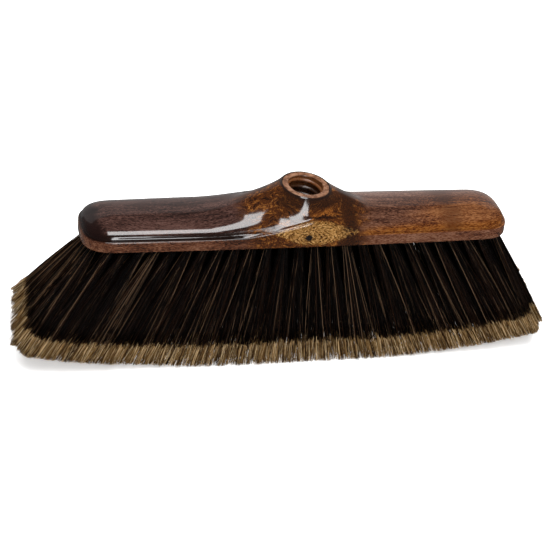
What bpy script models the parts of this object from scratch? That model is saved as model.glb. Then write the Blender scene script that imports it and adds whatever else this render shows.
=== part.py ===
"""Indoor broom head: a moulded block with a tilted screw socket and a flared bristle field.

Metres, +Z up.  X runs along the block, the socket leans towards +X and slightly
towards -Y (the front).  The bristle tips rest on z = 0.
"""
import math

import bmesh
import bpy
from mathutils import Matrix, Vector

MM = 0.001

# Block outline, seen from above: straight sides with a slight bow and blunt round ends
HALF_LENGTH = 138 * MM
HALF_DEPTH = 24 * MM
SIDE_BOW = 2 * MM
END_LENGTH = 23 * MM
END_POWER = 3.0
SIDE_STEPS = 24
END_STEPS = 8
EVEN_SHARE = 0.35

# Cover shell: a flange all round, a dome on it and a boss for the socket
FLANGE_HEIGHT = 7.2 * MM
FLANGE_EDGE = 0.9 * MM
FLANGE_FOOT = 0.5 * MM
LEDGE = 1.3 * MM
DOME_HEIGHT = 9.4 * MM
DOME_ARCH = 0.6 * MM
DOME_POWER = 2.1
WALL = 2.5 * MM
SURFACE_STEPS = 10
CEILING_SHARES = (1.0, 0.97, 0.85, 0.5, 0.2)

# Socket: centre of its rim above the block's underside, and its lean
RIM_X = 3 * MM
RIM_Y = -4 * MM
RIM_Z = 32.6 * MM
LEAN_X = math.radians(4.5)
LEAN_FRONT = math.radians(4.0)
LIP_RADIUS = 16.2 * MM
LIP_WIDTH = 0.5 * MM
SEAT_RADIUS = 15.2 * MM
SEAT_DEPTH = 1.6 * MM
BORE_RADIUS = 13.3 * MM
BORE_DEPTH = 16.3 * MM

# Boss: how far it reaches from the socket's axis, and how hollow its flanks are
BOSS_LEFT = 77 * MM
BOSS_RIGHT = 60 * MM
BOSS_FRONT = 27 * MM
BOSS_BACK = 35 * MM
BOSS_FOOT = 6.4 * MM
FLANK_POWER = 0.96
SKIRT_POWER = 2
BLEND = 6 * MM

# Shelf in front of the socket: the ledge climbs to its crest from both sides
SHELF_RISE = 9.5 * MM
CREST_X = 5 * MM
CREST_WIDTH = 1.5 * MM
SHELF_LEFT = 60 * MM
SHELF_RIGHT = 38 * MM
SHELF_TILT = 0.8
SHELF_DEPTH = 6 * MM
SHELF_BACK = 8 * MM
SHELF_FRONT = 17 * MM
SHELF_BLEND = 2.5 * MM
# The dome grows by this share beside the socket, in full within the core, none past the ends
SWELL = 0.45
SWELL_CORE = 20 * MM
SWELL_LEFT = 66 * MM
SWELL_RIGHT = 38 * MM

# Threaded insert: a flanged cup that sits in the cover's seat
GAP = 0.3 * MM
RING_THICKNESS = 1.2 * MM
CUP_LENGTH = 21 * MM
CUP_FLOOR = 1.5 * MM
THREAD_MAJOR = 11.6 * MM
THREAD_HEIGHT = 1 * MM
THREAD_PITCH = 5 * MM
MOUTH_RADIUS = 11.3 * MM
INSERT_SIDES = 28
THREAD_STEPS = 16

# Tuft plate inside the cover, and the holes for the tufts
PLATE_FOOT = 0.2 * MM
PLATE_STEP = 6 * MM
PLATE_INSET = 2.5 * MM
PLATE_HEIGHT = 9 * MM
HOLE_RADIUS = 2.75 * MM
HOLE_DEPTH = 7.2 * MM
CUTTER_REACH = 3 * MM
TUFT_RADIUS = 2.4 * MM
TUFT_SIDES = 6
BANK_GAP = 1.0 * MM
END_BANK_GAP = 1.0 * MM

# Tufts: banks along the block, rows across it, every second row shifted.
# The two banks at the round ends leave out their outer rows.
BANKS = 27
FIRST_BANK_X = 128.5 * MM
ROWS = 5
OUTER_ROW = 17.8 * MM
ROW_SHIFT = 1.2 * MM
BRISTLE_LENGTH = 72.5 * MM
BRANCH_POINT = 0.12
PEG_OVERLAP = 0.05
BANK_LEVELS = (BRANCH_POINT, 0.5, 1.0)

# Flare: slope of the tufts along X and Y, and how the trimmed tips rise to the ends
UPRIGHT_X = 8 * MM
SLOPE_RATE = 8.8
SLOPE_LEFT = 0.80
SLOPE_RIGHT = 0.61
SLOPE_POWER = 4
SPREAD_RATE = 20.5
TIP_FLAT = 40 * MM
TIP_RISE = 11.5 * MM
TIP_POWER = 1.8
TIP_HALF_LENGTH = 175 * MM
TIP_HALF_DEPTH = 47 * MM
TIP_END_LENGTH = 22 * MM
TIP_END_POWER = 2.4
TIP_END_SHARE = 0.75

BANK_PITCH = 2 * FIRST_BANK_X / (BANKS - 1)
AXIS = Vector((
    math.sin(LEAN_X),
    -math.sin(LEAN_FRONT) * math.cos(LEAN_X),
    math.cos(LEAN_FRONT) * math.cos(LEAN_X),
))
RIM_CENTRE = Vector((RIM_X, RIM_Y, RIM_Z))
ACROSS = Vector((0, 1, 0)).cross(AXIS).normalized()
ALONG_Y = AXIS.cross(ACROSS)


def clear_scene():
    for item in list(bpy.data.objects):
        bpy.data.objects.remove(item, do_unlink=True)


def make_collection(name):
    collection = bpy.data.collections.new(name)
    bpy.context.scene.collection.children.link(collection)
    return collection


def make_material(name, color, roughness, metallic=0.0):
    material = bpy.data.materials.new(name)
    material.use_nodes = True
    shader = material.node_tree.nodes["Principled BSDF"]
    shader.inputs["Base Color"].default_value = (*color, 1.0)
    shader.inputs["Roughness"].default_value = roughness
    shader.inputs["Metallic"].default_value = metallic
    return material


def slope_x(x):
    """Slope of a tuft along X: it grows away from the upright tuft and levels off."""
    straight = SLOPE_RATE * (x - UPRIGHT_X)
    limit = SLOPE_LEFT if x < UPRIGHT_X else SLOPE_RIGHT
    return straight / (1 + abs(straight / limit) ** SLOPE_POWER) ** (1 / SLOPE_POWER)


def tip_rise(x):
    """How far the trimmed tips of a tuft rooted at x stand above the lowest tips."""
    beyond = max(0.0, abs(x + BRISTLE_LENGTH * slope_x(x)) - TIP_FLAT)
    return TIP_RISE * (beyond / (TIP_HALF_LENGTH - TIP_FLAT)) ** TIP_POWER


def tip_x(x):
    return x + (BRISTLE_LENGTH - tip_rise(x)) * slope_x(x)


EDGE_X = FIRST_BANK_X + (BANK_PITCH - BANK_GAP) / 2
TIP_MIDDLE = (tip_x(-EDGE_X) + tip_x(EDGE_X)) / 2
BLOCK_PLACE = Matrix.Translation((-TIP_MIDDLE, 0, BRISTLE_LENGTH))


def side_depth(x, half_length, half_depth, end_length, power):
    """Half depth at x of an outline with straight sides and blunt round ends."""
    into_end = (abs(x) - (half_length - end_length)) / end_length
    if into_end <= 0:
        return half_depth
    if into_end >= 1:
        return 0.0
    return half_depth * (1 - into_end ** power) ** (1 / power)


def bowed(x):
    return HALF_DEPTH + SIDE_BOW * (1 - (x / HALF_LENGTH) ** 2)


def block_outline(inset):
    """The block's outline drawn in by inset, as (x, y) points, counter-clockwise."""
    straight = HALF_LENGTH - END_LENGTH
    quarter = []
    for step in range(END_STEPS // 2):
        angle = math.pi / 2 * step / (END_STEPS // 2)
        x = straight + (END_LENGTH - inset) * math.cos(angle) ** (2 / END_POWER)
        y = (bowed(x) - inset) * math.sin(angle) ** (2 / END_POWER)
        quarter.append((x, y))
    for step in range(SIDE_STEPS // 2 + 1):
        along = 1 - step / (SIDE_STEPS // 2)
        x = straight * (EVEN_SHARE * along + (1 - EVEN_SHARE) * along ** 3)
        quarter.append((x, bowed(x) - inset))
    half = quarter + [(-x, y) for x, y in reversed(quarter[1:-1])]
    left_end = [(-quarter[0][0], 0.0)]
    return half + left_end + [(x, -y) for x, y in reversed(half[1:])]


def dome_gauge(x, y, inset):
    """0 on the block's middle line, 1 on its outline drawn in by inset."""
    across = abs(y) / (bowed(x) - inset)
    into_end = (abs(x) - (HALF_LENGTH - END_LENGTH)) / (END_LENGTH - inset)
    if into_end <= 0:
        return across
    return (across ** END_POWER + into_end ** END_POWER) ** (1 / END_POWER)


def dome_height(x, y, inset, base, rise):
    gauge = min(1.0, dome_gauge(x, y, inset))
    arch = DOME_ARCH * (1 - (x / HALF_LENGTH) ** 2)
    return base + (rise + arch) * (1 - gauge ** DOME_POWER) ** (1 / DOME_POWER)


def boss_height(x, y):
    """Height of the boss at (x, y), and its share there: 1 at the lip, 0 past its foot."""
    dx, dy = x - RIM_X, y - RIM_Y
    distance = max(math.hypot(dx, dy), LIP_RADIUS)
    reach_x = BOSS_LEFT if dx < 0 else BOSS_RIGHT
    reach_y = BOSS_FRONT if dy < 0 else BOSS_BACK
    ux, uy = dx / distance, dy / distance
    reach = 1 / math.hypot(ux / reach_x, uy / reach_y)
    left = max(0.0, 1 - (distance - LIP_RADIUS) / (reach - LIP_RADIUS))
    share = left ** (FLANK_POWER * ux * ux + SKIRT_POWER * uy * uy)
    lip = RIM_Z - LIP_WIDTH - LIP_RADIUS * (AXIS.x * ux + AXIS.y * uy) / AXIS.z
    return BOSS_FOOT + (lip - BOSS_FOOT) * share, share


def eased(share):
    share = min(1.0, max(0.0, share))
    return share * share * (3 - 2 * share)


def shelf_height(x, y):
    """Height of the shelf at (x, y), and its share there: 1 at its crest, 0 past its ends."""
    aside = math.hypot(x - CREST_X, CREST_WIDTH) - CREST_WIDTH
    if x < CREST_X:
        share = max(0.0, 1 - aside / SHELF_LEFT) ** 2
    else:
        share = max(0.0, 1 - (aside / SHELF_RIGHT) ** 2)
    share *= eased((-y - SHELF_BACK) / (SHELF_FRONT - SHELF_BACK))
    inwards = min(SHELF_DEPTH, bowed(x) + y)
    return FLANGE_HEIGHT + share * (SHELF_RISE + SHELF_TILT * inwards), share


def swollen(x, dome):
    """The dome's height, grown near the socket."""
    aside = x - RIM_X
    reach = SWELL_LEFT if aside < 0 else SWELL_RIGHT
    near = eased((reach - abs(aside)) / (reach - SWELL_CORE))
    return FLANGE_HEIGHT + (dome - FLANGE_HEIGHT) * (1 + SWELL * near)


def soft_top(a, b, blend):
    """The higher of two heights, with a hollow of about blend where they meet."""
    return (a + b + math.hypot(a - b, blend)) / 2


def cover_height(x, y, dome):
    """The dome, the boss and the shelf, blended into each other."""
    boss, share = boss_height(x, y)
    shelf, shelf_share = shelf_height(x, y)
    body = soft_top(swollen(x, dome), boss, BLEND * math.sqrt(share) * (1 - share))
    return soft_top(body, shelf, SHELF_BLEND * shelf_share)


def socket_ring(radius, depth, directions):
    """A circle about the socket's axis, depth below the rim, one point a direction."""
    centre = RIM_CENTRE - AXIS * depth
    ring = []
    for angle in directions:
        ring.append(centre + radius * (math.cos(angle) * ACROSS + math.sin(angle) * ALONG_Y))
    return ring


def loft(name, rings, collection, material, closed):
    """One closed skin through rings of equal count, either looped or capped at its ends."""
    mesh = bpy.data.meshes.new(name)
    skin = bmesh.new()
    rows = [[skin.verts.new(point) for point in ring] for ring in rings]
    count = len(rows[0])
    spans = len(rows) if closed else len(rows) - 1
    for span in range(spans):
        lower, upper = rows[span], rows[(span + 1) % len(rows)]
        for k in range(count):
            after = (k + 1) % count
            skin.faces.new((lower[k], lower[after], upper[after], upper[k]))
    if not closed:
        skin.faces.new(list(reversed(rows[0])))
        skin.faces.new(rows[-1])
    bmesh.ops.recalc_face_normals(skin, faces=skin.faces)
    skin.to_mesh(mesh)
    skin.free()
    mesh.materials.append(material)
    mesh.shade_smooth()
    mesh.set_sharp_from_angle(angle=math.radians(35))
    part = bpy.data.objects.new(name, mesh)
    part.matrix_world = BLOCK_PLACE
    collection.objects.link(part)
    return part


def flat_ring(inset, z):
    return [Vector((x, y, z)) for x, y in block_outline(inset)]


def make_cover(collection, material):
    """The shell: bore, seat, lip, boss and dome, flange, then back up inside."""
    outline = block_outline(LEDGE)
    directions = [math.atan2(y - RIM_Y, x - RIM_X) for x, y in outline]
    rings = [
        socket_ring(BORE_RADIUS, BORE_DEPTH, directions),
        socket_ring(BORE_RADIUS, SEAT_DEPTH, directions),
        socket_ring(SEAT_RADIUS, SEAT_DEPTH, directions),
        socket_ring(SEAT_RADIUS, 0, directions),
        socket_ring(SEAT_RADIUS + LIP_WIDTH, 0, directions),
    ]
    for step in range(SURFACE_STEPS + 1):
        part_way = step / SURFACE_STEPS
        share = eased(part_way)
        ring = []
        for (x, y), angle in zip(outline, directions):
            px = (1 - share) * (RIM_X + LIP_RADIUS * math.cos(angle)) + share * x
            py = (1 - share) * (RIM_Y + LIP_RADIUS * math.sin(angle)) + share * y
            dome = dome_height(px, py, LEDGE, FLANGE_HEIGHT, DOME_HEIGHT)
            ring.append(Vector((px, py, cover_height(px, py, dome))))
        rings.append(ring)
    rings += flange_rings()
    rings += inner_rings(directions)
    return loft("block_cover", rings, collection, material, closed=True)


def flange_rings():
    """The ledge, its rounded edge, the flange's side and its underside."""
    rings = []
    corner = (1 - math.sqrt(0.5)) * FLANGE_EDGE
    for inset, drop in ((FLANGE_EDGE, 0), (corner, corner), (0, FLANGE_EDGE)):
        ring = []
        for x, y in block_outline(inset):
            ring.append(Vector((x, y, cover_height(x, y, FLANGE_HEIGHT) - drop)))
        rings.append(ring)
    rings.append(flat_ring(0, FLANGE_FOOT))
    rings.append(flat_ring(FLANGE_FOOT, 0))
    return rings


def inner_rings(directions):
    """The inside wall and the ceiling, which runs to the foot of the bore."""
    inner = block_outline(WALL)
    ceiling = DOME_HEIGHT - WALL
    rings = [flat_ring(WALL, 0)]
    for share in CEILING_SHARES:
        ring = []
        for (x, y), angle in zip(inner, directions):
            px = (1 - share) * (RIM_X + BORE_RADIUS * math.cos(angle)) + share * x
            py = (1 - share) * (RIM_Y + BORE_RADIUS * math.sin(angle)) + share * y
            height = dome_height(px, py, WALL, FLANGE_HEIGHT, ceiling)
            ring.append(Vector((px, py, height)))
        rings.append(ring)
    return rings


def make_insert(collection, material):
    """A flanged cup with a helical ridge inside, the thread for the handle."""
    directions = [2 * math.pi * k / INSERT_SIDES for k in range(INSERT_SIDES)]
    outside = BORE_RADIUS - GAP
    rings = [
        socket_ring(outside, CUP_LENGTH, directions),
        socket_ring(outside, RING_THICKNESS, directions),
        socket_ring(SEAT_RADIUS - GAP, RING_THICKNESS, directions),
        socket_ring(SEAT_RADIUS - GAP, 0, directions),
        socket_ring(MOUTH_RADIUS, 0, directions),
    ]
    top, bottom = 1 * MM, CUP_LENGTH - CUP_FLOOR
    for step in range(THREAD_STEPS + 1):
        depth = top + (bottom - top) * step / THREAD_STEPS
        ring = []
        for angle in directions:
            turn = depth / THREAD_PITCH + angle / (2 * math.pi)
            ridge = max(0.0, math.cos(2 * math.pi * turn)) * THREAD_HEIGHT
            centre = RIM_CENTRE - AXIS * depth
            outward = math.cos(angle) * ACROSS + math.sin(angle) * ALONG_Y
            ring.append(centre + (THREAD_MAJOR - ridge) * outward)
        rings.append(ring)
    return loft("thread_insert", rings, collection, material, closed=False)


def bank_rows(bank):
    """The rows that have a tuft in this bank."""
    return range(1, ROWS - 1) if bank in (0, BANKS - 1) else range(ROWS)


def tuft_root(bank, row, aside=0.0, beyond=0.0):
    """Where a tuft leaves the plate, or a point beside it, in block coordinates."""
    side = 1 if row % 2 else -1
    x = -FIRST_BANK_X + bank * BANK_PITCH + side * ROW_SHIFT
    y = OUTER_ROW * (2 * row / (ROWS - 1) - 1)
    return Vector((x + aside, y + beyond, 0))


def tuft_tip(bank, row, aside=0.0, beyond=0.0):
    """Where a tuft ends, or a point beside it: the tips stand in straight banks."""
    x = -FIRST_BANK_X + bank * BANK_PITCH + aside
    length = BRISTLE_LENGTH - tip_rise(x)
    spread = OUTER_ROW * (1 + SPREAD_RATE * length)
    room = side_depth(
        tip_x(x) - TIP_MIDDLE, TIP_HALF_LENGTH, TIP_HALF_DEPTH, TIP_END_LENGTH, TIP_END_POWER
    )
    outer = min(spread, max(room, TIP_END_SHARE * spread))
    rows = bank_rows(bank)
    across = 2 * (row - rows[0]) / (len(rows) - 1) - 1
    return Vector((tip_x(x), across * outer + beyond, -length))


def make_plate(collection, cutters, material):
    """A stepped plate with a slanted blind hole for each tuft."""
    lower, upper = WALL + GAP, WALL + GAP + PLATE_INSET
    rings = [
        flat_ring(lower, PLATE_FOOT),
        flat_ring(lower, PLATE_STEP),
        flat_ring(upper, PLATE_STEP),
        flat_ring(upper, PLATE_HEIGHT),
    ]
    plate = loft("tuft_plate", rings, collection, material, closed=False)
    holes = bmesh.new()
    for bank in range(BANKS):
        for row in bank_rows(bank):
            add_peg(holes, bank, row, HOLE_RADIUS, -HOLE_DEPTH - GAP, CUTTER_REACH)
    mesh = bpy.data.meshes.new("tuft_holes")
    holes.to_mesh(mesh)
    holes.free()
    cutter = bpy.data.objects.new("tuft_holes", mesh)
    cutter.matrix_world = BLOCK_PLACE
    cutter.hide_render = True
    cutter.display_type = "WIRE"
    cutters.objects.link(cutter)
    cut = plate.modifiers.new("holes", "BOOLEAN")
    cut.operation = "DIFFERENCE"
    cut.object = cutter
    return plate


def add_peg(skin, bank, row, radius, start, end):
    """A straight prism along one tuft's direction, from start to end past the root."""
    root = tuft_root(bank, row)
    along = (tuft_tip(bank, row) - root).normalized()
    turn = Vector((0, 0, 1)).rotation_difference(along).to_matrix().to_4x4()
    middle = root + along * (start + end) / 2
    bmesh.ops.create_cone(
        skin, cap_ends=True, segments=TUFT_SIDES, radius1=radius, radius2=radius,
        depth=end - start, matrix=Matrix.Translation(middle) @ turn,
    )


def bank_ring(bank, level):
    """The bank's outline at one level: along its rows on one side, back on the other."""
    half = BANK_PITCH / 2 - BANK_GAP / 2
    right = half - (END_BANK_GAP if bank == 0 else 0)
    left = half - (END_BANK_GAP if bank == BANKS - 1 else 0)
    rows = bank_rows(bank)
    sides = []
    for aside in (right, -left):
        side = []
        for row in rows:
            beyond = {rows[0]: -TUFT_RADIUS, rows[-1]: TUFT_RADIUS}.get(row, 0.0)
            root = tuft_root(bank, row, aside, beyond)
            side.append(root.lerp(tuft_tip(bank, row, aside, beyond), level))
        sides.append(side)
    return sides[0] + list(reversed(sides[1]))


def make_bank(bank, collection, cutters, material):
    """One bank of tufts across the block: five pegs that run together below the plate."""
    rings = [bank_ring(bank, level) for level in reversed(BANK_LEVELS)]
    name = f"tuft_bank_{bank + 1:02d}"
    part = loft(name, rings, collection, material, closed=False)
    reach = BRISTLE_LENGTH * (BRANCH_POINT + PEG_OVERLAP)
    for row in bank_rows(bank):
        skin = bmesh.new()
        add_peg(skin, bank, row, TUFT_RADIUS, -HOLE_DEPTH, reach)
        mesh = bpy.data.meshes.new(f"{name}_peg_{row}")
        skin.to_mesh(mesh)
        skin.free()
        peg = bpy.data.objects.new(mesh.name, mesh)
        peg.matrix_world = BLOCK_PLACE
        peg.hide_render = True
        peg.display_type = "WIRE"
        cutters.objects.link(peg)
        join = part.modifiers.new(f"peg_{row}", "BOOLEAN")
        join.operation = "UNION"
        join.object = peg
    return part


def main():
    clear_scene()
    parts = make_collection("indoor_broom_head")
    cutters = make_collection("cutters")
    cover = make_material("burl_cover", (0.13, 0.045, 0.02), 0.18)
    insert = make_material("brown_insert", (0.42, 0.22, 0.12), 0.4)
    plate = make_material("dark_plate", (0.03, 0.018, 0.014), 0.5)
    bristle = make_material("dark_bristle", (0.035, 0.02, 0.014), 0.45)
    make_cover(parts, cover)
    make_insert(parts, insert)
    make_plate(parts, cutters, plate)
    for bank in range(BANKS):
        make_bank(bank, parts, cutters, bristle)


main()
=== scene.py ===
"""Indoor broom head: the detailed pieces, materials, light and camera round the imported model.

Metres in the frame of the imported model, +Z up.  The block, the socket and the bristle
field repeat the formulas of the CAD source, at a finer resolution.
"""
import math

import bmesh
import bpy
import numpy as np
from mathutils import Matrix, Vector


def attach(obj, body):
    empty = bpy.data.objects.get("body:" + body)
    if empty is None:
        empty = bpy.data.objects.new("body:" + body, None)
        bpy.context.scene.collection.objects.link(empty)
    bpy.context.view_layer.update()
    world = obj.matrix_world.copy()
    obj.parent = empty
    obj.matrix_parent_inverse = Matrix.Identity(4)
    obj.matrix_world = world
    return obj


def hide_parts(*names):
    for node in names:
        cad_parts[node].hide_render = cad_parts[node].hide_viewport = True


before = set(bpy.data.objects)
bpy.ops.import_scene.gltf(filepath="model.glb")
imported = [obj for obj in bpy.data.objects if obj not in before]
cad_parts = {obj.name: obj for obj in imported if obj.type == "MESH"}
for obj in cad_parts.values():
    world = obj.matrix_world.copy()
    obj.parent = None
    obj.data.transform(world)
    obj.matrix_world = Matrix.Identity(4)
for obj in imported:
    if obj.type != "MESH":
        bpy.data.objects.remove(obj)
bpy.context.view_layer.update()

MM = 0.001

# Block outline and cover shell, as in the CAD source
HALF_LENGTH = 138 * MM
HALF_DEPTH = 24 * MM
SIDE_BOW = 2 * MM
END_LENGTH = 23 * MM
END_POWER = 3.0
FLANGE_HEIGHT = 7.2 * MM
FLANGE_EDGE = 0.9 * MM
LEDGE = 1.3 * MM
DOME_HEIGHT = 9.4 * MM
DOME_ARCH = 0.6 * MM
DOME_POWER = 2.1
WALL = 2.5 * MM
RIM_X, RIM_Y, RIM_Z = 3 * MM, -4 * MM, 32.6 * MM
LEAN_X, LEAN_FRONT = math.radians(4.5), math.radians(4.0)
LIP_RADIUS, LIP_WIDTH = 16.2 * MM, 0.5 * MM
SEAT_RADIUS, SEAT_DEPTH = 15.2 * MM, 1.6 * MM
BORE_RADIUS, BORE_DEPTH = 13.3 * MM, 16.3 * MM
BOSS_LEFT, BOSS_RIGHT, BOSS_FRONT, BOSS_BACK = 77 * MM, 60 * MM, 27 * MM, 35 * MM
BOSS_FOOT = 6.4 * MM
FLANK_POWER, SKIRT_POWER = 0.96, 2
BLEND = 6 * MM
SHELF_RISE, CREST_X, CREST_WIDTH = 9.5 * MM, 5 * MM, 1.5 * MM
SHELF_LEFT, SHELF_RIGHT = 60 * MM, 38 * MM
SHELF_TILT, SHELF_DEPTH = 0.8, 6 * MM
SHELF_BACK, SHELF_FRONT = 8 * MM, 17 * MM
SHELF_BLEND = 2.5 * MM
SWELL, SWELL_LEFT, SWELL_RIGHT, SWELL_CORE = 0.45, 66 * MM, 38 * MM, 20 * MM

# Threaded insert
GAP = 0.3 * MM
RING_THICKNESS = 1.2 * MM
CUP_LENGTH, CUP_FLOOR = 21 * MM, 1.5 * MM
THREAD_MAJOR, THREAD_HEIGHT, THREAD_PITCH = 11.6 * MM, 1 * MM, 5 * MM
MOUTH_RADIUS = 11.3 * MM

# Tufts
HOLE_DEPTH = 7.2 * MM
TUFT_RADIUS = 2.3 * MM
BANKS, ROWS = 27, 5
FIRST_BANK_X = 128.5 * MM
OUTER_ROW = 17.8 * MM
ROW_SHIFT = 1.2 * MM
BANK_GAP = 1.0 * MM
BRISTLE_LENGTH = 72.5 * MM
UPRIGHT_X = 8 * MM
SLOPE_RATE, SLOPE_LEFT, SLOPE_RIGHT, SLOPE_POWER = 8.8, 0.80, 0.61, 4
SPREAD_RATE = 20.5
TIP_FLAT, TIP_RISE, TIP_POWER = 40 * MM, 11.5 * MM, 1.8
TIP_HALF_LENGTH, TIP_HALF_DEPTH = 175 * MM, 47 * MM
TIP_END_LENGTH, TIP_END_POWER, TIP_END_SHARE = 22 * MM, 2.4, 0.75

BANK_PITCH = 2 * FIRST_BANK_X / (BANKS - 1)
AXIS = np.array((
    math.sin(LEAN_X),
    -math.sin(LEAN_FRONT) * math.cos(LEAN_X),
    math.cos(LEAN_FRONT) * math.cos(LEAN_X),
))
RIM_CENTRE = np.array((RIM_X, RIM_Y, RIM_Z))
ACROSS = np.cross((0.0, 1.0, 0.0), AXIS)
ACROSS /= np.linalg.norm(ACROSS)
ALONG_Y = np.cross(AXIS, ACROSS)


def slope_x(x):
    """Slope of a tuft along X: it grows away from the upright tuft and levels off."""
    straight = SLOPE_RATE * (x - UPRIGHT_X)
    limit = np.where(x < UPRIGHT_X, SLOPE_LEFT, SLOPE_RIGHT)
    return straight / (1 + np.abs(straight / limit) ** SLOPE_POWER) ** (1 / SLOPE_POWER)


def tip_rise(x):
    beyond = np.maximum(0.0, np.abs(x + BRISTLE_LENGTH * slope_x(x)) - TIP_FLAT)
    return TIP_RISE * (beyond / (TIP_HALF_LENGTH - TIP_FLAT)) ** TIP_POWER


def tip_x(x):
    return x + (BRISTLE_LENGTH - tip_rise(x)) * slope_x(x)


EDGE_X = FIRST_BANK_X + (BANK_PITCH - BANK_GAP) / 2
TIP_MIDDLE = float(tip_x(np.array(-EDGE_X)) + tip_x(np.array(EDGE_X))) / 2
BLOCK_PLACE = np.array((-TIP_MIDDLE, 0.0, BRISTLE_LENGTH))


# ---------------------------------------------------------------- camera, light, floor

# The view of the block's own centre: direction, roll, distance, scale and shift
YAW, ELEVATION, ROLL = math.radians(15.8), math.radians(31.0), math.radians(5.95)
VIEW_DISTANCE = 1.12
VIEW_SCALE = 1570.5
VIEW_ASIDE, VIEW_UP = 12.7 * MM, 30.7 * MM
IMAGE_SIZE = 550
SENSOR = 36.0
WORLD_SEEN, WORLD_LIGHT = 1.0, 0.12
WEDGE_RADIANCE = 12.5
FLOOR_HALF = 6.0


def make_camera():
    back = Vector((
        -math.sin(YAW) * math.cos(ELEVATION),
        -math.cos(YAW) * math.cos(ELEVATION),
        math.sin(ELEVATION),
    ))
    level = Vector((math.cos(YAW), -math.sin(YAW), 0))
    rise = back.cross(level)
    right = math.cos(ROLL) * level + math.sin(ROLL) * rise
    up = back.cross(right)
    place = Vector(BLOCK_PLACE) + back * VIEW_DISTANCE - right * VIEW_ASIDE - up * VIEW_UP
    data = bpy.data.cameras.new("camera")
    data.sensor_width = SENSOR
    data.lens = SENSOR * VIEW_SCALE * VIEW_DISTANCE / IMAGE_SIZE
    camera = bpy.data.objects.new("camera", data)
    turn = Matrix((right, up, back)).transposed().to_4x4()
    camera.matrix_world = Matrix.Translation(place) @ turn
    bpy.context.scene.collection.objects.link(camera)
    bpy.context.scene.camera = camera


def area_light(name, place, aim, size, radiance, glossy=True, diffuse=True):
    """A softbox of that radiance; glossy is whether it shows in reflections, diffuse whether
    it lights surfaces."""
    data = bpy.data.lights.new(name, "AREA")
    data.shape = "RECTANGLE"
    data.size, data.size_y = size
    data.energy = radiance * math.pi * size[0] * size[1]
    light = bpy.data.objects.new(name, data)
    place, aim = Vector(place), Vector(aim)
    light.location = place
    light.rotation_mode = "QUATERNION"
    light.rotation_quaternion = (aim - place).to_track_quat("-Z", "Y")
    light.visible_camera = False
    light.visible_glossy = glossy
    light.visible_diffuse = diffuse
    bpy.context.scene.collection.objects.link(light)


def make_light():
    world = bpy.data.worlds.new("studio")
    world.use_nodes = True
    tree = world.node_tree
    background = tree.nodes["Background"]
    background.inputs["Color"].default_value = (1, 1, 1, 1)
    seen = put(tree, "ShaderNodeLightPath").outputs["Is Camera Ray"]
    strength = put(tree, "ShaderNodeMapRange", {"Value": seen, "To Min": WORLD_LIGHT,
                                                "To Max": WORLD_SEEN})
    tree.links.new(strength.outputs["Result"], background.inputs["Strength"])
    bpy.context.scene.world = world
    bpy.context.scene.view_settings.view_transform = "Standard"
    block = (0, 0, 0.09)
    area_light("key", (0.095, -0.81, 1.17), block, (0.29, 0.72), 13, glossy=False)
    # The high box makes the strip along the dome, the other three the wedge on the boss
    area_light("high_box", (-0.024, -0.50, 1.426), block, (0.55, 0.632), 11, diffuse=False)
    for name, place, size in (
        ("low_box", (-0.104, -1.321, 0.377), (0.204, 0.602)),
        ("upper_box", (-0.012, -1.194, 0.783), (0.204, 0.249)),
        ("side_box", (0.081, -1.380, 0.189), (0.167, 0.208)),
    ):
        area_light(name, place, block, size, WEDGE_RADIANCE, diffuse=False)
    area_light("backdrop", (0.2, 2.2, 0.6), block, (3.4, 2.4), 0.25)
    area_light("fill", (0.0, 0.2, 1.7), (0, 0, 0), (2.2, 2.2), 3.2, glossy=False)


def make_floor():
    mesh = bpy.data.meshes.new("floor")
    corners = ((-1, -1), (1, -1), (1, 1), (-1, 1))
    mesh.from_pydata([(x * FLOOR_HALF, y * FLOOR_HALF, 0) for x, y in corners], [], [(0, 1, 2, 3)])
    floor = bpy.data.objects.new("floor", mesh)
    bpy.context.scene.collection.objects.link(floor)
    mesh.materials.append(floor_material())
    floor.visible_glossy = False


# ---------------------------------------------------------------- node helpers

def new_material(name):
    material = bpy.data.materials.new(name)
    material.use_nodes = True
    tree = material.node_tree
    return material, tree, tree.nodes["Principled BSDF"]


def put(tree, kind, inputs=None, **settings):
    """A node with its settings; an input is a value or another node's output socket."""
    node = tree.nodes.new(kind)
    for key, value in settings.items():
        setattr(node, key, value)
    for key, value in (inputs or {}).items():
        socket = node.inputs[key]
        if isinstance(value, bpy.types.NodeSocket):
            tree.links.new(value, socket)
        else:
            socket.default_value = value
    return node


def maths(tree, operation, a, b=0.0):
    return put(tree, "ShaderNodeMath", {0: a, 1: b}, operation=operation).outputs[0]


def ramp(tree, value, stops):
    node = put(tree, "ShaderNodeValToRGB", {"Fac": value})
    band = node.color_ramp
    while len(band.elements) < len(stops):
        band.elements.new(0.5)
    for element, (position, color) in zip(band.elements, stops):
        element.position = position
        element.color = (*color, 1)
    return node.outputs["Color"]


def smooth(tree, value, low, high):
    """0 below low, 1 above high, smooth between; low may be above high."""
    node = put(tree, "ShaderNodeMapRange", {"Value": value}, interpolation_type="SMOOTHSTEP")
    flip = low > high
    node.inputs["From Min"].default_value = min(low, high)
    node.inputs["From Max"].default_value = max(low, high)
    node.inputs["To Min"].default_value = 1.0 if flip else 0.0
    node.inputs["To Max"].default_value = 0.0 if flip else 1.0
    return node.outputs["Result"]


def mix(tree, share, a, b):
    node = put(tree, "ShaderNodeMix", data_type="RGBA")
    for socket, value in ((node.inputs[0], share), (node.inputs[6], a), (node.inputs[7], b)):
        if isinstance(value, bpy.types.NodeSocket):
            tree.links.new(value, socket)
        elif isinstance(value, (int, float)):
            socket.default_value = value
        else:
            socket.default_value = (*value, 1)
    return node.outputs[2]


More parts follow.
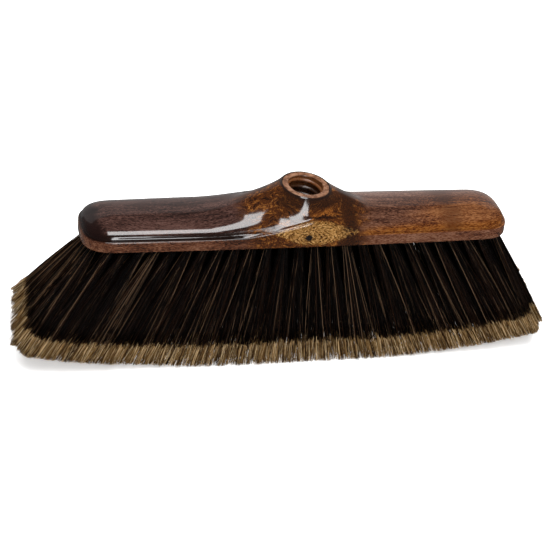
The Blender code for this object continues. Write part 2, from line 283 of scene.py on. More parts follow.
def noise(tree, vector, scale, detail=4.0, roughness=0.5, distortion=0.0, output="Fac"):
    return put(
        tree, "ShaderNodeTexNoise",
        {"Vector": vector, "Scale": scale, "Detail": detail, "Roughness": roughness,
         "Distortion": distortion},
    ).outputs[output]


def moved(tree, vector, place=(0, 0, 0), scale=(1, 1, 1)):
    """(vector - place), scaled."""
    shifted = put(tree, "ShaderNodeVectorMath", {0: vector, 1: place}, operation="SUBTRACT")
    return put(
        tree, "ShaderNodeMapping", {"Vector": shifted.outputs[0], "Scale": scale}
    ).outputs[0]


def length_of(tree, vector):
    return put(tree, "ShaderNodeVectorMath", {0: vector}, operation="LENGTH").outputs["Value"]


def disturbed(tree, vector, scale, amount, detail=2.0):
    """The vector with a smooth random offset of up to about amount."""
    wander = noise(tree, vector, scale, detail, output="Color")
    centred = put(tree, "ShaderNodeVectorMath", {0: wander, 1: (0.5, 0.5, 0.5)},
                  operation="SUBTRACT")
    scaled = put(tree, "ShaderNodeVectorMath", {0: centred.outputs[0]}, operation="SCALE")
    scaled.inputs["Scale"].default_value = 2 * amount
    added = put(tree, "ShaderNodeVectorMath", {0: vector, 1: scaled.outputs[0]},
                operation="ADD")
    return added.outputs[0]


def bump(tree, height, strength, distance, normal=None):
    inputs = {"Height": height, "Strength": strength, "Distance": distance}
    if normal is not None:
        inputs["Normal"] = normal
    return put(tree, "ShaderNodeBump", inputs).outputs["Normal"]


# ---------------------------------------------------------------- materials

def floor_material():
    material, tree, shader = new_material("pale_floor")
    place = put(tree, "ShaderNodeTexCoord").outputs["Object"]
    tint = noise(tree, place, 3.0, 2.0)
    color = ramp(tree, tint, [(0.3, (0.90, 0.90, 0.90)), (0.7, (0.93, 0.93, 0.93))])
    tree.links.new(color, shader.inputs["Base Color"])
    shader.inputs["Roughness"].default_value = 0.9
    shader.inputs["Specular IOR Level"].default_value = 0.2
    shader.inputs["Emission Color"].default_value = (1, 1, 1, 1)
    shader.inputs["Emission Strength"].default_value = 0.56
    return material


# The gold leaf on the foot of the boss and its knot, in millimetres on the block
KNOT = (2.3, 6.8)
LENS_MIDDLE, LENS_HALF = (7.0, 10.0), (26.5, 8.6)
GRAIN_STOPS = (0.43, 0.48, 0.52, 0.58)


class Film:
    """A burr-wood print with painted shade, painted sheen and a painted highlight, laid on in
    layers by place on the block, in millimetres.
    """

    def __init__(self, tree, place):
        self.tree = tree
        self.local = moved(tree, place, place=BLOCK_PLACE, scale=(1 / MM,) * 3)
        self.x, self.y, self.z = self.split(self.local)
        self.color = None
        # Straight grain: coarse, fine along X, and broad
        wavy = disturbed(tree, self.local, 0.016, 5.0)
        self.streak = noise(tree, moved(tree, wavy, scale=(0.05, 0.5, 0.5)), 1.0, 6.0, 0.62)
        self.fine = noise(tree, moved(tree, wavy, scale=(0.5, 2.2, 2.2)), 1.0, 4.0, 0.65)
        self.broad = noise(tree, moved(tree, wavy, scale=(0.016, 0.09, 0.09)), 1.0, 3.0, 0.5)
        # Burl: swirls and the fibres in them
        self.swirl = disturbed(tree, self.local, 0.06, 9.0, 3.0)
        coarse = noise(tree, moved(tree, self.swirl, scale=(0.10, 0.22, 0.22)),
                       1.0, 8.0, 0.68, 1.2)
        self.fibre = noise(tree, moved(tree, self.swirl, scale=(0.6, 1.7, 1.7)), 1.0, 4.0, 0.6)
        self.figure = self.plus(self.times(coarse, 0.62), self.times(self.fibre, 0.38))
        # Distance from the middle of the burl along X, with a ragged edge
        self.aside = maths(tree, "ABSOLUTE", self.plus(
            self.plus(self.x, -2.0), self.plus(self.times(self.broad, 24), -12)))

    def split(self, vector):
        return put(self.tree, "ShaderNodeSeparateXYZ", {0: vector}).outputs[:3]

    def times(self, *values):
        product = values[0]
        for value in values[1:]:
            product = maths(self.tree, "MULTIPLY", product, value)
        return product

    def plus(self, *values):
        total = values[0]
        for value in values[1:]:
            total = maths(self.tree, "ADD", total, value)
        return total

    def smooth(self, value, low, high):
        return smooth(self.tree, value, low, high)

    def band(self, value, low, high, soft):
        """1 between low and high, with soft ends."""
        return self.times(self.smooth(value, low - soft, low + soft),
                          self.smooth(value, high + soft, high - soft))

    def distance(self, a, b):
        squares = self.plus(self.times(a, a), self.times(b, b))
        return maths(self.tree, "SQRT", squares)

    def lay(self, share, color):
        self.color = mix(self.tree, share, self.color, color)

    def lay_grain(self):
        """Straight grain: mauve at the left, red and pale to the right, orange at its foot; the
        pale towards the back is partly print and partly painted sheen, and the dark left end is
        painted shade.
        """
        times, plus, smooth = self.times, self.plus, self.smooth
        x, y, z, broad = self.x, self.y, self.z, self.broad
        grain = plus(times(self.streak, 0.24), times(self.fine, 0.50), times(broad, 0.26))

        def woods(*colors):
            return ramp(self.tree, grain, list(zip(GRAIN_STOPS, colors)))

        self.color = woods((0.007, 0.0026, 0.002), (0.024, 0.0095, 0.0070),
                           (0.047, 0.0200, 0.0150), (0.090, 0.0450, 0.0360))
        red = woods((0.020, 0.0060, 0.003), (0.058, 0.0210, 0.0110),
                    (0.105, 0.0430, 0.0240), (0.190, 0.0950, 0.0600))
        pale = woods((0.075, 0.0350, 0.025), (0.120, 0.0600, 0.0440),
                     (0.160, 0.0880, 0.0680), (0.230, 0.1400, 0.1100))
        orange = woods((0.024, 0.0045, 0.001), (0.092, 0.0220, 0.0030),
                       (0.165, 0.0500, 0.0070), (0.280, 0.1080, 0.0220))
        edge = woods((0.024, 0.0080, 0.004), (0.078, 0.0250, 0.0110),
                     (0.120, 0.0450, 0.0220), (0.190, 0.0920, 0.0540))
        to_right = smooth(plus(x, times(broad, 40)), 0, 50)
        self.lay(to_right, red)
        # Paler towards the back of the right half: partly the print, partly painted sheen
        self.lay(times(to_right, smooth(y, -4, 14), 0.95), pale)
        foot = smooth(plus(z, times(broad, 9)), 18.0, 14.0)
        self.lay(times(to_right, foot), orange)
        tawny = times(smooth(plus(x, times(broad, 60)), 85, 125), smooth(y, 16, -4))
        self.lay(times(tawny, 0.6), orange)
        shade = times(self.band(plus(x, times(self.streak, 16)), 100, 112, 5),
                      smooth(self.fine, 0.44, 0.56))
        self.lay(times(shade, 0.6), (0.020, 0.008, 0.004))
        wall = times(foot, smooth(z, 12.2, 10.2), smooth(x, 20, -20))
        self.lay(wall, (0.008, 0.0022, 0.0008))
        self.lay(smooth(z, 7.4, 6.6), edge)
        # Painted shade: the left end cap, turned from the light, is laid near black
        shaded_left_end = smooth(plus(x, times(broad, 14)), -117, -122)
        self.lay(times(shaded_left_end, smooth(z, 6.0, 8.0), 0.92), (0.006, 0.0010, 0.0006))

    def lay_burl(self):
        """Swirls of brown and gold between dark lines, on the front of the boss."""
        times, plus, smooth = self.times, self.plus, self.smooth
        x, y, z, aside = self.x, self.y, self.z, self.aside
        burl = ramp(self.tree, self.figure, [
            (0.41, (0.003, 0.0008, 0.0003)),
            (0.455, (0.026, 0.0070, 0.0012)),
            (0.495, (0.075, 0.0200, 0.0030)),
            (0.515, (0.016, 0.0040, 0.0007)),
            (0.55, (0.100, 0.0290, 0.0045)),
            (0.61, (0.250, 0.0950, 0.0180)),
        ])
        self.lay(times(smooth(aside, 46, 32), smooth(plus(y, times(z, -0.2)), 4, -6)), burl)
        # Dark under the mouth, then an orange streak that is a painted highlight
        near = times(smooth(aside, 21, 15), smooth(y, -6, -12))
        self.lay(times(near, smooth(z, 23, 26), 0.75), (0.016, 0.0045, 0.0012))
        ragged = plus(z, times(x, -0.2), times(plus(self.figure, -0.5), 14))
        streak = times(self.band(ragged, 18.2, 20.6, 0.8), self.band(x, 3, 17, 2),
                       smooth(y, -10, -14))
        orange_painted_highlight = ramp(self.tree, self.fibre,
                     [(0.40, (0.05, 0.012, 0.002)), (0.60, (0.36, 0.12, 0.020))])
        self.lay(times(streak, 0.85), orange_painted_highlight)

    def lay_leaf(self):
        """A gold leaf with fine rings round a dark knot, under a dark line of painted shade along
        the valley above it.
        """
        times, plus, smooth = self.times, self.plus, self.smooth
        tree, x, y, z = self.tree, self.x, self.y, self.z
        over = maths(tree, "MAXIMUM", plus(y, 26.0), 0.0)
        height = plus(z, times(over, 0.6))
        # Painted shade: a dark line along the valley between the shelf and the boss wall
        valley_shade = times(self.band(height, 20.5, 22.0, 0.8), self.band(x, -18, 22, 6),
                       smooth(y, -12, -17))
        self.lay(times(valley_shade, 0.85), (0.008, 0.002, 0.0008))
        leaf_x = maths(tree, "ABSOLUTE", times(plus(x, -LENS_MIDDLE[0]), 1 / LENS_HALF[0]))
        leaf_z = maths(tree, "ABSOLUTE", times(plus(height, -LENS_MIDDLE[1]), 1 / LENS_HALF[1]))
        leaf = plus(maths(tree, "POWER", leaf_x, 1.7), leaf_z,
                    times(plus(self.figure, -0.5), 1.6))
        bent_x, _, bent_z = self.split(disturbed(tree, self.local, 0.13, 2.2, 3.0))
        far = self.distance(times(plus(bent_x, -KNOT[0]), 0.42),
                            plus(bent_z, times(over, 0.6), -KNOT[1]))
        rings = maths(tree, "SINE", times(far, 5.2))
        flecks = noise(tree, moved(tree, self.swirl, scale=(0.45, 1.3, 1.3)), 1.0, 6.0, 0.7)
        gold = ramp(tree, plus(times(rings, 0.035), flecks), [
            (0.36, (0.014, 0.0045, 0.001)),
            (0.45, (0.080, 0.0300, 0.006)),
            (0.50, (0.200, 0.0900, 0.020)),
            (0.56, (0.340, 0.1750, 0.048)),
            (0.66, (0.520, 0.3200, 0.120)),
        ])
        self.lay(smooth(leaf, 1.08, 0.94), gold)
        knot = self.distance(plus(x, -KNOT[0]), plus(height, -KNOT[1]))
        self.lay(smooth(plus(knot, times(self.fibre, 2)), 3.7, 2.7), (0.007, 0.0045, 0.003))

    def lay_dark_spots(self):
        """Blotches on the right flank, partly print and partly painted shade on the flank turned
        from the light, and a dark rim round the insert.
        """
        # Dark blotches on the right flank: partly the print, partly painted shade
        blotch_shade = self.times(self.band(self.x, 24, 34, 3), self.smooth(self.figure, 0.46, 0.52))
        self.lay(self.times(blotch_shade, 0.9), (0.009, 0.0026, 0.0012))
        from_rim = moved(self.tree, self.local, place=RIM_CENTRE / MM, scale=(1, 1, 0.3))
        rim = length_of(self.tree, from_rim)
        self.lay(self.smooth(rim, 16.9, 16.2), (0.014, 0.005, 0.0025))


def burl_material():
    """A printed burr-wood film under a clear coat, with painted shade, painted sheen and a painted
    highlight in its colour.
    """
    material, tree, shader = new_material("burr_cover")
    place = put(tree, "ShaderNodeTexCoord").outputs["Object"]
    film = Film(tree, place)
    film.lay_grain()
    film.lay_burl()
    film.lay_leaf()
    film.lay_dark_spots()
    tree.links.new(film.color, shader.inputs["Base Color"])
    worn = noise(tree, place, 140.0, 4.0)
    rough = put(tree, "ShaderNodeMapRange", {"Value": worn, "To Min": 0.30, "To Max": 0.45})
    tree.links.new(rough.outputs["Result"], shader.inputs["Roughness"])
    shader.inputs["Specular IOR Level"].default_value = 0.0
    shader.inputs["Coat Weight"].default_value = 1.0
    shader.inputs["Coat Roughness"].default_value = 0.09
    ripple = bump(tree, noise(tree, place, 90.0, 2.0), 0.12, 0.0006)
    tree.links.new(ripple, shader.inputs["Coat Normal"])
    tree.links.new(bump(tree, film.streak, 0.25, 0.0002, ripple), shader.inputs["Normal"])
    return material


def insert_material():
    """Tan ring; the bore behind it goes from brown to almost black with its depth, which is
    painted shade in the recess.
    """
    material, tree, shader = new_material("insert")
    place = put(tree, "ShaderNodeTexCoord").outputs["Object"]
    mottle = noise(tree, place, 260.0, 5.0, 0.62)
    ring = ramp(tree, mottle, [
        (0.36, (0.100, 0.040, 0.018)),
        (0.50, (0.205, 0.092, 0.046)),
        (0.62, (0.310, 0.160, 0.092)),
    ])
    from_rim = put(tree, "ShaderNodeVectorMath", {0: place, 1: tuple(RIM_CENTRE + BLOCK_PLACE)},
                   operation="SUBTRACT")
    depth = put(tree, "ShaderNodeVectorMath", {0: from_rim.outputs[0], 1: tuple(-AXIS / MM)},
                operation="DOT_PRODUCT").outputs["Value"]
    # Painted shade: the bore's brown darkens to almost black the deeper it goes
    inside = ramp(tree, maths(tree, "MULTIPLY", depth, 0.1), [
        (0.05, (0.23, 0.085, 0.028)),
        (0.45, (0.16, 0.055, 0.017)),
        (0.85, (0.028, 0.010, 0.004)),
    ])
    color = mix(tree, smooth(tree, depth, 0.3, 0.9), ring, inside)
    tree.links.new(color, shader.inputs["Base Color"])
    tree.links.new(
        put(tree, "ShaderNodeMapRange",
            {"Value": mottle, "To Min": 0.20, "To Max": 0.36}).outputs["Result"],
        shader.inputs["Roughness"],
    )
    tree.links.new(bump(tree, noise(tree, place, 900.0, 3.0), 0.15, 0.0002),
                   shader.inputs["Normal"])
    return material


def plate_material():
    material, tree, shader = new_material("plate")
    place = put(tree, "ShaderNodeTexCoord").outputs["Object"]
    grains = noise(tree, place, 700.0, 4.0)
    color = ramp(tree, grains, [(0.3, (0.012, 0.007, 0.005)), (0.7, (0.03, 0.018, 0.013))])
    tree.links.new(color, shader.inputs["Base Color"])
    shader.inputs["Roughness"].default_value = 0.5
    tree.links.new(bump(tree, grains, 0.3, 0.0003), shader.inputs["Normal"])
    return material


# Filament shades: name, colour, roughness
SHAFTS = [
    ("filament_black", (0.0014, 0.0006, 0.0004), 0.42),
    ("filament_umber", (0.0045, 0.0019, 0.0011), 0.42),
    ("filament_brown", (0.024, 0.0100, 0.0050), 0.42),
    # The light shade is partly paler filaments, partly painted sheen
    ("filament_light_sheen", (0.165, 0.098, 0.055), 0.42),
]
SHAFT_SHARES = (0.54, 0.26, 0.13, 0.07)
FLAGS = [
    ("flag_brown", (0.018, 0.0082, 0.0030), 0.6),
    ("flag_tan", (0.135, 0.072, 0.024), 0.62),
    ("flag_straw", (0.33, 0.198, 0.078), 0.62),
    ("flag_pale", (0.70, 0.50, 0.27), 0.64),
]
FLAG_SHARES = (0.38, 0.28, 0.20, 0.14)


def filament_materials():
    made = []
    for name, color, roughness in SHAFTS + FLAGS:
        material, tree, shader = new_material(name)
        shader.inputs["Base Color"].default_value = (*color, 1)
        shader.inputs["Roughness"].default_value = roughness
        shader.inputs["Specular IOR Level"].default_value = 0.08
        made.append(material)
    return made


# ---------------------------------------------------------------- meshes

def add_piece(name, mesh, nodes):
    piece = bpy.data.objects.new(name, mesh)
    bpy.context.scene.collection.objects.link(piece)
    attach(piece, "root")
    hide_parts(*nodes)
    return piece


def loft(name, rings, closed):
    """One closed skin through rings (rows of points), either looped or capped at its ends."""
    rings = np.asarray(rings)
    rows, count = rings.shape[:2]
    spans = rows if closed else rows - 1
    k = np.arange(count)
    faces = []
    for span in range(spans):
        lower, upper = span * count, (span + 1) % rows * count
        after = (k + 1) % count
        faces.append(np.stack([lower + k, lower + after, upper + after, upper + k], 1))
    faces = np.concatenate(faces).tolist()
    if not closed:
        faces.append(list(reversed(range(count))))
        faces.append(list(range((rows - 1) * count, rows * count)))
    mesh = bpy.data.meshes.new(name)
    mesh.from_pydata((rings.reshape(-1, 3) + BLOCK_PLACE).tolist(), [], faces)
    mesh.validate()
    return mesh


SHARP = math.radians(35)


def finish_skin(mesh, material):
    skin = bmesh.new()
    skin.from_mesh(mesh)
    bmesh.ops.recalc_face_normals(skin, faces=skin.faces)
    skin.to_mesh(mesh)
    skin.free()
    mesh.materials.append(material)
    mesh.shade_smooth()
    mesh.set_sharp_from_angle(angle=SHARP)
    return mesh


OUTLINE_END_STEPS = 36
OUTLINE_SIDE_STEPS = 64
SURFACE_RINGS = 96
EDGE_STEPS = 6
INSERT_SIDES, THREAD_STEPS = 144, 150


def bowed(x):
    return HALF_DEPTH + SIDE_BOW * (1 - (x / HALF_LENGTH) ** 2)


def block_outline(inset):
    """The block's outline drawn in by inset, as (n, 2) points, counter-clockwise."""
    straight = HALF_LENGTH - END_LENGTH
    angle = math.pi / 2 * np.arange(OUTLINE_END_STEPS) / OUTLINE_END_STEPS
    end_x = straight + (END_LENGTH - inset) * np.cos(angle) ** (2 / END_POWER)
    end_y = (bowed(end_x) - inset) * np.sin(angle) ** (2 / END_POWER)
    along = 1 - np.arange(OUTLINE_SIDE_STEPS + 1) / OUTLINE_SIDE_STEPS
    side_x = straight * (0.45 * along + 0.55 * along ** 3)
    quarter = np.stack([
        np.concatenate([end_x, side_x]), np.concatenate([end_y, bowed(side_x) - inset])
    ], 1)
    flip_x, flip_y = np.array((-1, 1)), np.array((1, -1))
    half = np.concatenate([quarter, (quarter[1:-1] * flip_x)[::-1]])
    left_end = np.array([[-quarter[0, 0], 0.0]])
    return np.concatenate([half, left_end, (half[1:] * flip_y)[::-1]])


def dome_height(x, y, inset, base, rise):
    across = np.abs(y) / (bowed(x) - inset)
    into_end = np.maximum(0, (np.abs(x) - (HALF_LENGTH - END_LENGTH)) / (END_LENGTH - inset))
    gauge = np.minimum(1, (across ** END_POWER + into_end ** END_POWER) ** (1 / END_POWER))
    arch = DOME_ARCH * (1 - (x / HALF_LENGTH) ** 2)
    return base + (rise + arch) * (1 - gauge ** DOME_POWER) ** (1 / DOME_POWER)


def shelf_height(x, y):
    """Height of the shelf in front of the socket, and its share: 1 at its crest."""
    aside = np.hypot(x - CREST_X, CREST_WIDTH) - CREST_WIDTH
    share = np.where(
        x < CREST_X,
        np.maximum(0.0, 1 - aside / SHELF_LEFT) ** 2,
        np.maximum(0.0, 1 - (aside / SHELF_RIGHT) ** 2),
    )
    fade = np.clip((-y - SHELF_BACK) / (SHELF_FRONT - SHELF_BACK), 0, 1)
    share = share * fade * fade * (3 - 2 * fade)
    inwards = np.minimum(SHELF_DEPTH, bowed(x) + y)
    return FLANGE_HEIGHT + share * (SHELF_RISE + SHELF_TILT * inwards), share


def swollen(x, dome):
    """The dome's height, grown near the socket."""
    aside = x - RIM_X
    reach = np.where(aside < 0, SWELL_LEFT, SWELL_RIGHT)
    near = np.clip((reach - np.abs(aside)) / (reach - SWELL_CORE), 0, 1)
    return FLANGE_HEIGHT + (dome - FLANGE_HEIGHT) * (1 + SWELL * near * near * (3 - 2 * near))


def soft_top(a, b, blend):
    return (a + b + np.hypot(a - b, blend)) / 2


def cover_height(x, y, dome):
    """The dome, the boss and the shelf, blended into each other."""
    dome = swollen(x, dome)
    dx, dy = x - RIM_X, y - RIM_Y
    distance = np.maximum(np.hypot(dx, dy), LIP_RADIUS)
    reach_x = np.where(dx < 0, BOSS_LEFT, BOSS_RIGHT)
    reach_y = np.where(dy < 0, BOSS_FRONT, BOSS_BACK)
    ux, uy = dx / distance, dy / distance
    reach = 1 / np.hypot(ux / reach_x, uy / reach_y)
    left = np.maximum(0.0, 1 - (distance - LIP_RADIUS) / (reach - LIP_RADIUS))
    share = left ** (FLANK_POWER * ux * ux + SKIRT_POWER * uy * uy)
    lip = RIM_Z - LIP_WIDTH - LIP_RADIUS * (AXIS[0] * ux + AXIS[1] * uy) / AXIS[2]
    boss = BOSS_FOOT + (lip - BOSS_FOOT) * share
    shelf, shelf_share = shelf_height(x, y)
    body = soft_top(dome, boss, BLEND * np.sqrt(share) * (1 - share))
    return soft_top(body, shelf, SHELF_BLEND * shelf_share)


def socket_ring(radius, depth, directions):
    outward = np.cos(directions)[:, None] * ACROSS + np.sin(directions)[:, None] * ALONG_Y
    return RIM_CENTRE - AXIS * depth + radius * outward


def flat_ring(inset, z):
    outline = block_outline(inset)
    return np.column_stack([outline, np.full(len(outline), z)])


def make_cover(material):
    outline = block_outline(LEDGE)
    x, y = outline.T
    directions = np.arctan2(y - RIM_Y, x - RIM_X)
    edge = LIP_WIDTH * 0.3
    rings = [
        socket_ring(BORE_RADIUS, BORE_DEPTH, directions),
        socket_ring(BORE_RADIUS, SEAT_DEPTH, directions),
        socket_ring(SEAT_RADIUS, SEAT_DEPTH, directions),
        socket_ring(SEAT_RADIUS, edge, directions),
        socket_ring(SEAT_RADIUS + edge, 0, directions),
        socket_ring(SEAT_RADIUS + LIP_WIDTH, 0, directions),
        socket_ring(SEAT_RADIUS + LIP_WIDTH + edge, edge, directions),
    ]
    for step in range(SURFACE_RINGS + 1):
        part_way = step / SURFACE_RINGS
        share = part_way * part_way * (3 - 2 * part_way)
        px = (1 - share) * (RIM_X + LIP_RADIUS * np.cos(directions)) + share * x
        py = (1 - share) * (RIM_Y + LIP_RADIUS * np.sin(directions)) + share * y
        dome = dome_height(px, py, LEDGE, FLANGE_HEIGHT, DOME_HEIGHT)
        rings.append(np.column_stack([px, py, cover_height(px, py, dome)]))
    for step in range(EDGE_STEPS + 1):
        angle = math.pi / 2 * step / EDGE_STEPS
        inset, drop = FLANGE_EDGE * (1 - math.sin(angle)), FLANGE_EDGE * (1 - math.cos(angle))
        fx, fy = block_outline(inset).T
        rings.append(np.column_stack([fx, fy, cover_height(fx, fy, FLANGE_HEIGHT) - drop]))
    rings.append(flat_ring(0, 0.5 * MM))
    rings.append(flat_ring(0.15 * MM, 0.15 * MM))
    rings.append(flat_ring(0.5 * MM, 0))
    rings.append(flat_ring(WALL, 0))
    ix, iy = block_outline(WALL).T
    for share in (1.0, 0.97, 0.85, 0.5, 0.2):
        px = (1 - share) * (RIM_X + BORE_RADIUS * np.cos(directions)) + share * ix
        py = (1 - share) * (RIM_Y + BORE_RADIUS * np.sin(directions)) + share * iy
        height = dome_height(px, py, WALL, FLANGE_HEIGHT, DOME_HEIGHT - WALL)
        rings.append(np.column_stack([px, py, height]))
    mesh = finish_skin(loft("cover", rings, closed=True), material)
    add_piece("cover", mesh, ["block_cover"])


def make_insert(material):
    directions = 2 * math.pi * np.arange(INSERT_SIDES) / INSERT_SIDES
    outside = BORE_RADIUS - GAP
    flange = SEAT_RADIUS - GAP
    edge = 0.25 * MM
    rings = [
        socket_ring(outside, CUP_LENGTH, directions),
        socket_ring(outside, RING_THICKNESS, directions),
        socket_ring(flange, RING_THICKNESS, directions),
        socket_ring(flange, edge, directions),
        socket_ring(flange - edge, 0, directions),
        socket_ring(MOUTH_RADIUS + 2 * edge, 0, directions),
        socket_ring(MOUTH_RADIUS + 0.6 * edge, 0.6 * edge, directions),
        socket_ring(MOUTH_RADIUS, 2 * edge, directions),
    ]
    top, bottom = 1 * MM, CUP_LENGTH - CUP_FLOOR
    for step in range(THREAD_STEPS + 1):
        depth = top + (bottom - top) * step / THREAD_STEPS
        turn = depth / THREAD_PITCH + directions / (2 * math.pi)
        ridge = np.maximum(0, np.cos(2 * math.pi * turn)) ** 0.7 * THREAD_HEIGHT
        rings.append(socket_ring((THREAD_MAJOR - ridge)[:, None], depth, directions))
    mesh = finish_skin(loft("insert", rings, closed=False), material)
    add_piece("insert", mesh, ["thread_insert"])


# ---------------------------------------------------------------- bristles

FILAMENTS = 140
END_FILAMENTS = 300
MIDDLE_SPREAD = 1.4
SPLITS = 4
SHAFT_STEPS = 8
FLAG_LENGTH = 13.5 * MM
FLAG_STEPS = 4
BOW = 0.7 * MM
FAN = 0.65 * MM
THINNEST, THICKEST = 0.13, 0.19  # millimetres

# Near the ends the front tips lean a little further to the left than the back ones, and
# the field is fuller by a share at the left
SKEW, SKEW_FROM, FULLER = 3.2 * MM, 110 * MM, 0.14


def side_depth(x, half_length, half_depth, end_length, power):
    into_end = (np.abs(x) - (half_length - end_length)) / end_length
    inside = np.clip(into_end, 0, 1)
    return half_depth * (1 - inside ** power) ** (1 / power)


def bank_rows(bank):
    return range(1, ROWS - 1) if bank in (0, BANKS - 1) else range(ROWS)


def tufts_of(bank, rng):
    """Root and tip of each filament of a bank, in block coordinates."""
    rows = bank_rows(bank)
    at_end = bank in (0, BANKS - 1)
    count = END_FILAMENTS if at_end else FILAMENTS
    middle = -FIRST_BANK_X + bank * BANK_PITCH
    roots, tips = [], []
    for place, row in enumerate(rows):
        spin = rng.random(count) * 2 * math.pi
        out = np.sqrt(rng.random(count)) * TUFT_RADIUS
        side = 1 if row % 2 else -1
        off_x, off_y = out * np.cos(spin), out * np.sin(spin)
        bulge = MIDDLE_SPREAD if row == ROWS // 2 else 1
        root = np.stack([
            middle + side * ROW_SHIFT + off_x * bulge,
            OUTER_ROW * (2 * row / (ROWS - 1) - 1) + off_y * bulge,
            np.zeros(count),
        ], 1)
        if at_end:
            loose = rng.uniform(-0.5, 0.5, (count, 2))
        else:
            loose = rng.normal(0, 0.22, (count, 2))
        aside = np.clip(off_x / TUFT_RADIUS * 0.5 + loose[:, 0], -0.6, 0.6) * BANK_PITCH
        x = middle + aside
        length = BRISTLE_LENGTH - tip_rise(x)
        spread = OUTER_ROW * (1 + SPREAD_RATE * length)
        room = side_depth(tip_x(x) - TIP_MIDDLE, TIP_HALF_LENGTH, TIP_HALF_DEPTH,
                          TIP_END_LENGTH, TIP_END_POWER)
        outer = np.minimum(spread, np.maximum(room, TIP_END_SHARE * spread))
        beyond = np.clip(off_y / TUFT_RADIUS * 0.5 + loose[:, 1], -0.6, 0.6)
        across = (place + beyond) / (len(rows) - 1) * 2 - 1
        across = np.clip(across, -1.06, 1.06)
        end_x = tip_x(x)
        into_end = np.clip((np.abs(end_x) - SKEW_FROM) / (TIP_HALF_LENGTH - SKEW_FROM), 0, 1)
        end_x = end_x + SKEW * across * into_end ** 2
        fuller = np.where(x < 0, FULLER * into_end * (1.3 - into_end), 0)
        tip = np.stack([end_x, across * outer * (1 + fuller), -length], 1)
        roots.append(root)
        tips.append(tip)
    return np.concatenate(roots), np.concatenate(tips)


def tube_faces(count, steps):
    """Faces of count three-sided tubes of steps rings each, closed at both ends."""
    start = np.arange(count)[:, None, None, None] * steps * 3
    ring = np.arange(steps - 1)[None, :, None, None] * 3
    corner = np.array([[0, 1, 4, 3], [1, 2, 5, 4], [2, 0, 3, 5]])[None, None]
    sides = (start + ring + corner).reshape(-1, 4)
    first = start[:, 0, 0] + np.array([[2, 1, 0]])
    last = start[:, 0, 0] + (steps - 1) * 3 + np.array([[0, 1, 2]])
    return sides, np.concatenate([first, last])


def tube_points(path, radius, rng):
    """Three corners round each point of the paths; path is (n, steps, 3)."""
    along = path[:, -1] - path[:, 0]
    along /= np.linalg.norm(along, axis=1, keepdims=True)
    aside = np.cross(along, (0.0, 1.0, 0.0))
    aside /= np.linalg.norm(aside, axis=1, keepdims=True)
    other = np.cross(along, aside)
    angle = rng.random(len(path))[:, None] * 2 * math.pi + np.arange(3) * 2 * math.pi / 3
    spoke = np.cos(angle)[..., None] * aside[:, None] + np.sin(angle)[..., None] * other[:, None]
    return path[:, :, None] + radius[..., None, None] * spoke[:, None]


def tube_mesh(name, bundles):
    """One mesh of several bundles of tubes: (points (n, steps, 3, 3), material per tube)."""
    points, quads, triangles, quad_slots, triangle_slots = [], [], [], [], []
    offset = 0
    for corners, slots in bundles:
        count, steps = corners.shape[:2]
        sides, ends = tube_faces(count, steps)
        quads.append(sides + offset)
        triangles.append(ends + offset)
        quad_slots.append(np.repeat(slots, (steps - 1) * 3))
        triangle_slots.append(np.concatenate([slots, slots]))
        points.append(corners.reshape(-1, 3))
        offset += count * steps * 3
    points = np.concatenate(points) + BLOCK_PLACE
    quads, triangles = np.concatenate(quads), np.concatenate(triangles)
    mesh = bpy.data.meshes.new(name)
    mesh.vertices.add(len(points))
    mesh.vertices.foreach_set("co", points.astype(np.float32).ravel())
    corners = np.concatenate([quads.ravel(), triangles.ravel()]).astype(np.int32)
    mesh.loops.add(len(corners))
    mesh.loops.foreach_set("vertex_index", corners)
    starts = np.concatenate([
        np.arange(len(quads)) * 4, len(quads) * 4 + np.arange(len(triangles)) * 3
    ]).astype(np.int32)
    mesh.polygons.add(len(starts))
    mesh.polygons.foreach_set("loop_start", starts)
    slots = np.concatenate(quad_slots + triangle_slots).astype(np.int32)
    mesh.polygons.foreach_set("material_index", slots)
    mesh.update(calc_edges=True)
    mesh.validate()
    mesh.shade_smooth()
    return mesh


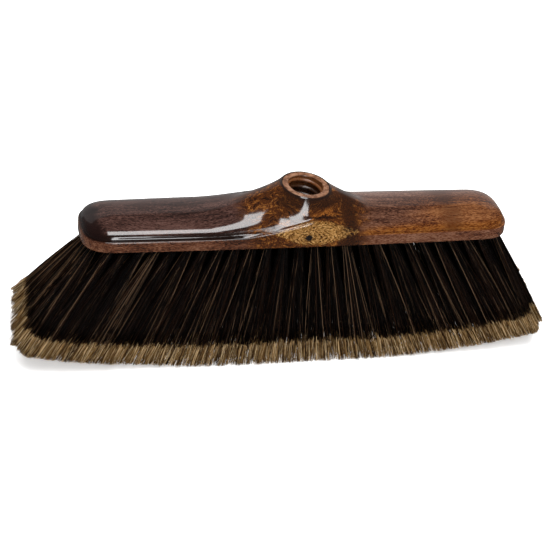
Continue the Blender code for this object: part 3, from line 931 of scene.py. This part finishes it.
def make_bristles(bank, materials):
    rng = np.random.default_rng(100 + bank)
    root, tip = tufts_of(bank, rng)
    count = len(root)
    heading = tip - root
    length = np.linalg.norm(heading, axis=1)
    heading /= length[:, None]
    shorter = np.abs(rng.normal(0, 0.5 * MM, count))
    tip = tip - heading * shorter[:, None]
    bow = rng.normal(0, BOW, (count, 3))
    flag_share = (FLAG_LENGTH + rng.normal(0, 1.0 * MM, count)) / length

    def at(t):
        return (root[:, None] + (tip - root)[:, None] * t[..., None]
                + bow[:, None] * np.sin(math.pi * t)[..., None])

    start = -HOLE_DEPTH * 0.8 / length
    t = start[:, None] + (1 - flag_share - start)[:, None] * np.linspace(0, 1, SHAFT_STEPS)
    shaft = at(t)
    thick = rng.uniform(THINNEST, THICKEST, count) * MM
    radius = thick[:, None] * np.linspace(1.0, 0.9, SHAFT_STEPS)
    shades = rng.choice(len(SHAFTS), count, p=SHAFT_SHARES)
    bundles = [(tube_points(shaft, radius, rng), shades)]

    for split in range(SPLITS):
        t = (1 - flag_share)[:, None] + flag_share[:, None] * np.linspace(0, 1, FLAG_STEPS)
        t[:, -1] -= np.abs(rng.normal(0, 0.012, count))
        fan = rng.normal(0, FAN, (count, 3))
        fan[:, 2] *= 0.3
        opening = np.linspace(0, 1, FLAG_STEPS)[None, :, None] ** 1.3
        path = at(t) + fan[:, None] * opening
        path[..., 2] = np.maximum(path[..., 2], -BRISTLE_LENGTH + 0.1 * MM)
        radius = thick[:, None] * np.linspace(0.85, 0.6, FLAG_STEPS)
        shades = len(SHAFTS) + rng.choice(len(FLAGS), count, p=FLAG_SHARES)
        bundles.append((tube_points(path, radius, rng), shades))

    name = f"bristles_{bank + 1:02d}"
    mesh = tube_mesh(name, bundles)
    for material in materials:
        mesh.materials.append(material)
    add_piece(name, mesh, [f"tuft_bank_{bank + 1:02d}"])


def main():
    make_camera()
    make_light()
    make_floor()
    make_cover(burl_material())
    make_insert(insert_material())
    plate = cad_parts["tuft_plate"]
    plate.data.materials.clear()
    plate.data.materials.append(plate_material())
    filaments = filament_materials()
    for bank in range(BANKS):
        make_bristles(bank, filaments)


main()
